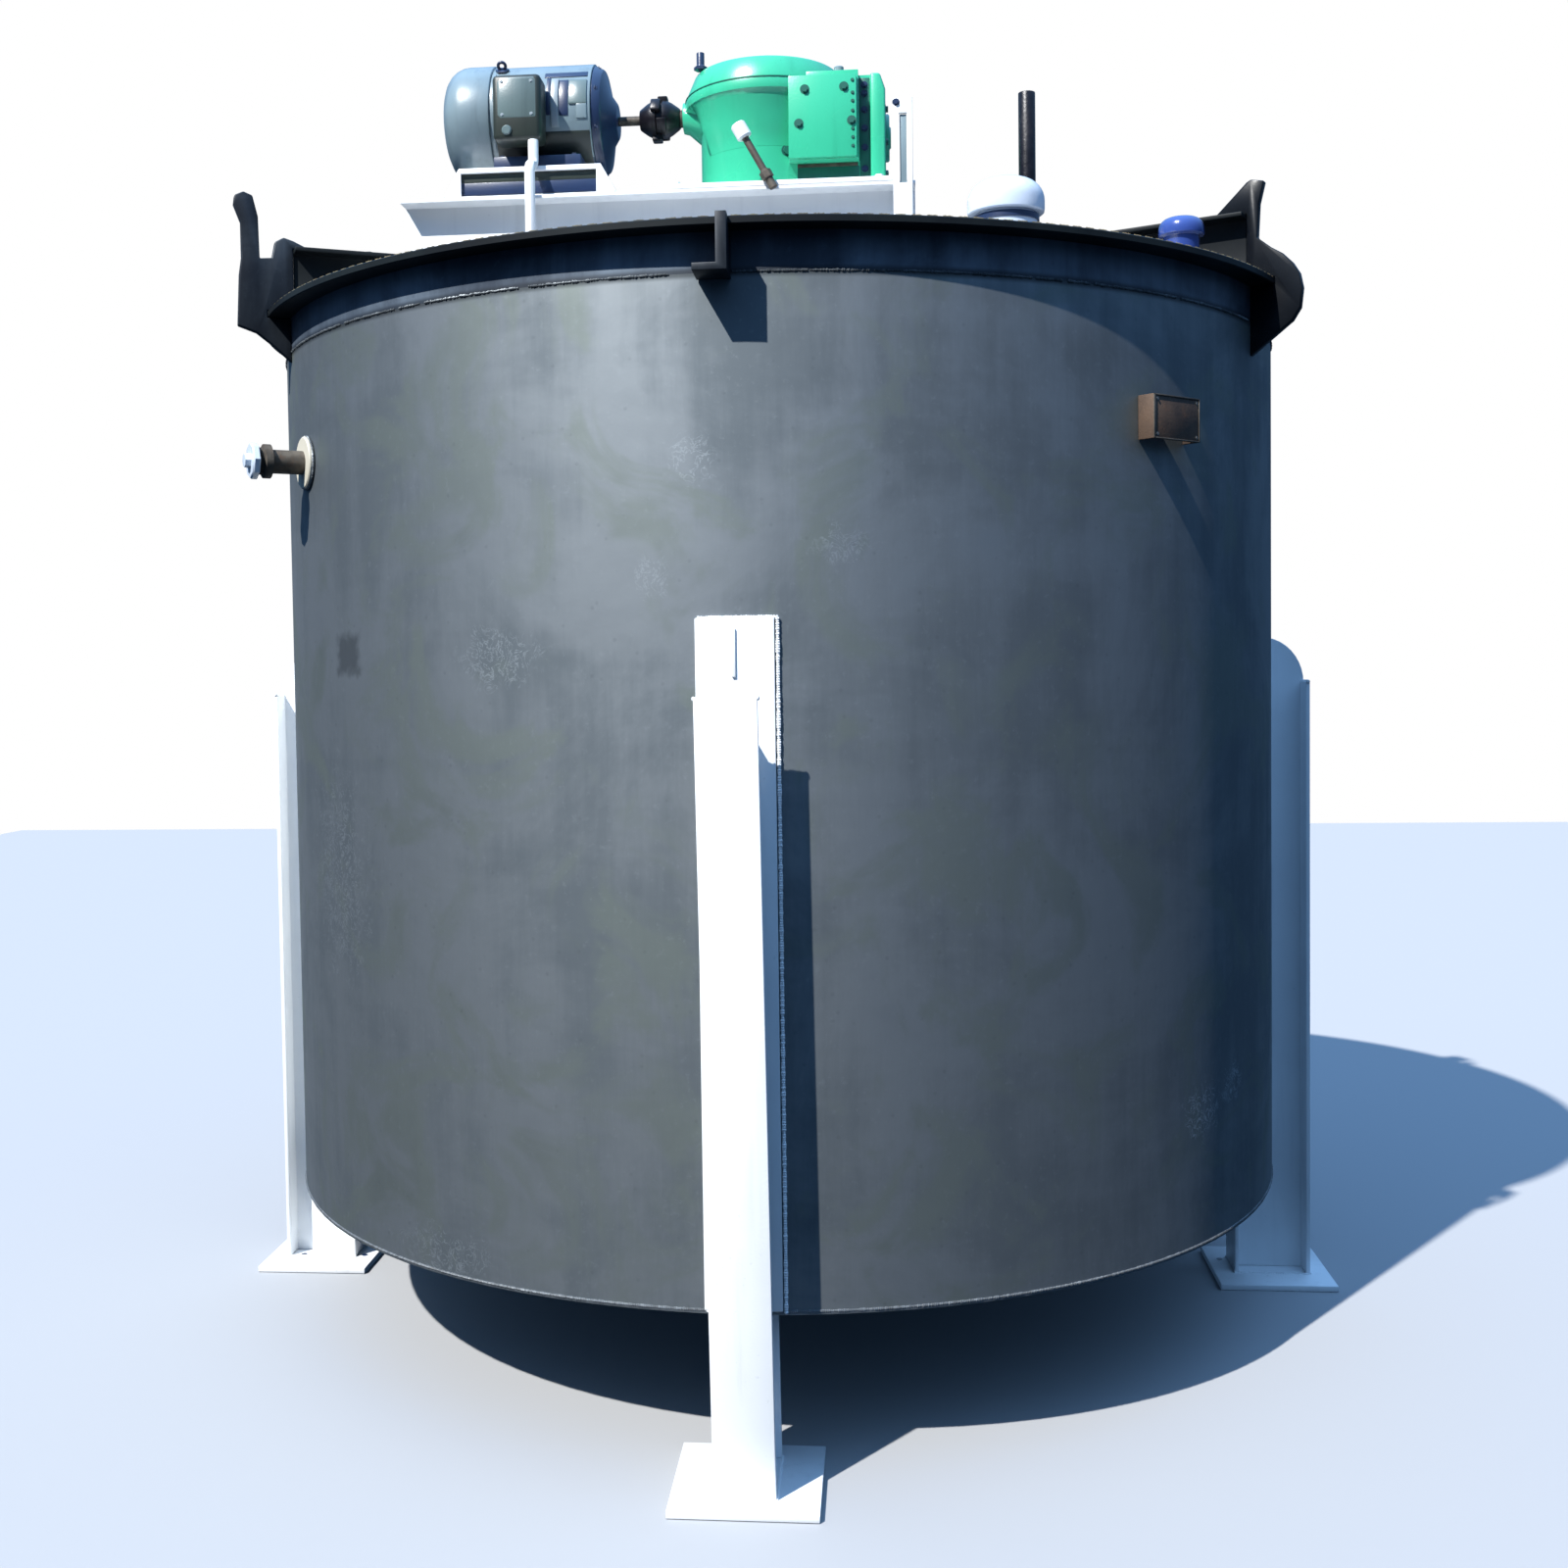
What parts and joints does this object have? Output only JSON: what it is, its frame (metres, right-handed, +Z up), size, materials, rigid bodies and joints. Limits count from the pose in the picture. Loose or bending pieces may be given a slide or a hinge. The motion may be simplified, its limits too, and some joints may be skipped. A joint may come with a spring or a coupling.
{
  "type": "jacketed mixing tank",
  "caption": "Upright jacketed cylindrical mixing tank on beam legs, with a flat ribbed cover carrying a motor, coupling and gearbox drive on a channel frame.",
  "frame": {"origin": "on the tank's axis at floor level, under the centre of the foot plates", "axes": "+Z up along the tank's axis; -Y towards the front leg; +X from the motor to the gearbox"},
  "size_m": [2.926, 2.926, 3.319],
  "materials": {
    "jacket_steel": "mottled grey mill steel with scuffs",
    "rim_steel": "dark blue-black weathered paint",
    "white_paint": "semi-gloss white, lightly soiled",
    "gearbox_green": "gloss sea green",
    "motor_blue_grey": "semi-gloss blue grey",
    "black_steel": "black, satin",
    "rusty_steel": "bare, lightly rusted",
    "galvanised_pipe": "galvanised, dull",
    "pale_cap": "pale blue-white, satin"
  },
  "bodies": {
    "tank": {"bottom_outlet": "jacket_steel", "breather": "motor_blue_grey", "collar_band": "rim_steel", "conduit": "white_paint", "conduit_box": "motor_blue_grey", "cover_nozzle": "pale_cap", "cover_plate": "rim_steel", "cover_ribs": "rim_steel", "drain_rod": "galvanised_pipe", "ear_back": "rim_steel", "ear_back_left": "rim_steel", "ear_back_right": "rim_steel", "ear_front": "rim_steel", "ear_front_left": "rim_steel", "ear_front_right": "rim_steel", "end_cover": "gearbox_green", "fan_cowl": "motor_blue_grey", "fill_cap": "pale_cap", "foot_plate_back": "white_paint", "foot_plate_front": "white_paint", "foot_plate_left": "white_paint", "foot_plate_right": "white_paint", "frame_channel_back": "white_paint", "frame_channel_front": "white_paint", "frame_cross_mid": "white_paint", "frame_cross_right": "white_paint", "frame_stool": "white_paint", "gear_base_plate": "white_paint", "gear_dome": "gearbox_green", "gear_housing": "gearbox_green", "inner_vessel": "jacket_steel", "input_bell": "gearbox_green", "jacket_bottom": "jacket_steel", "jacket_shell": "jacket_steel", "leg_back": "white_paint", "leg_front": "white_paint", "leg_left": "white_paint", "leg_right": "white_paint", "motor_body": "motor_blue_grey", "motor_end_bell": "motor_blue_grey", "motor_stand": "white_paint", "name_plate_bracket": "rusty_steel", "output_shaft": "black_steel", "rim_flange": "rim_steel", "side_cover": "gearbox_green", "side_nozzle": "galvanised_pipe", "upright_bracket": "white_paint", "vent_pipe": "black_steel"},
    "drive_shaft": {"drive_coupling": "black_steel"}
  },
  "joints": [
    {"name": "drive_shaft_turn", "type": "hinge", "parent": "tank", "child": "drive_shaft", "pos_m": [-0.32, 0, 3.163], "axis": [1, 0, 0], "continuous": true}
  ]
}
